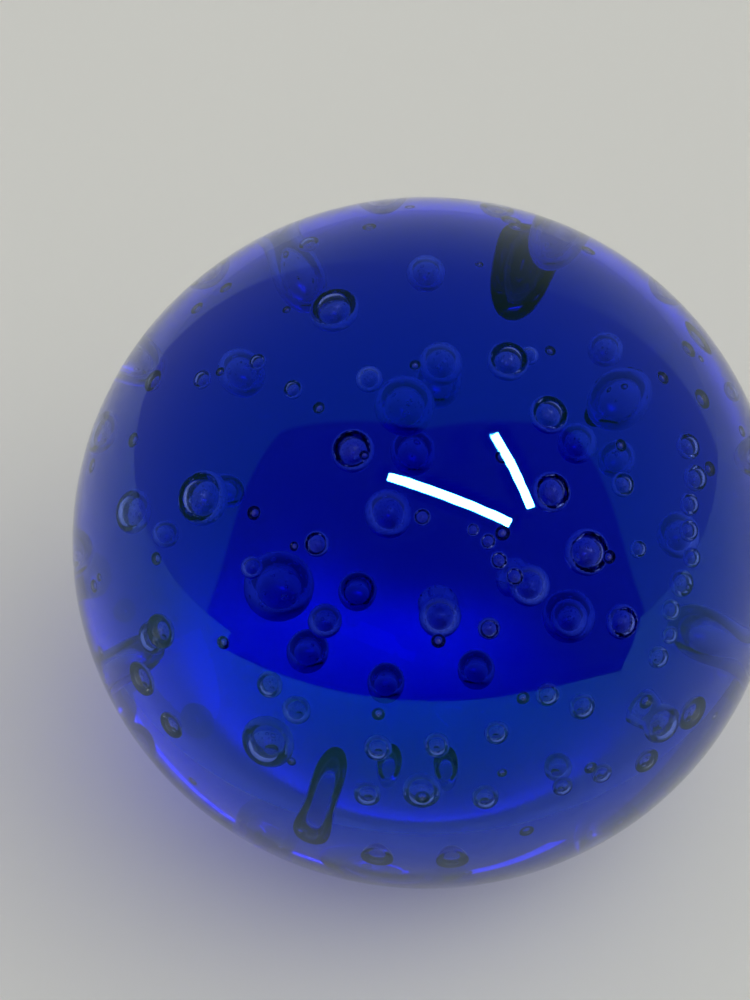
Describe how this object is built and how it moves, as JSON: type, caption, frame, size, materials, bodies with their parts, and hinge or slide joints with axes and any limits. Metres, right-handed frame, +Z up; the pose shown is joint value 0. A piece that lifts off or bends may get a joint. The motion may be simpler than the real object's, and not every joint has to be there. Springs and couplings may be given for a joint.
{
  "type": "paperweight",
  "caption": "Solid cobalt-blue glass ball paperweight full of trapped air bubbles, standing on a flat ground foot.",
  "frame": {"origin": "middle of the flat foot, on the surface that the ball stands on", "axes": "+Z up; the ball's best face looks out over -Y and 42 degrees up; +X is to the right of that face"},
  "size_m": [0.08, 0.08, 0.0738],
  "materials": {
    "cobalt_glass": "fire-polished transparent cobalt glass, ground and polished on the foot",
    "trapped_air": "smooth wall of a sealed air bubble in glass"
  },
  "bodies": {
    "root": {"core_gather": "cobalt_glass", "second_gather": "cobalt_glass", "third_gather": "cobalt_glass", "outer_gather": "cobalt_glass", "core_bubbles": "trapped_air", "second_bubbles": "trapped_air", "third_bubbles": "trapped_air", "outer_bubbles": "trapped_air", "side_chain": "trapped_air", "middle_chain": "trapped_air", "torn_bubbles": "trapped_air", "seeds": "trapped_air"}
  },
  "joints": []
}
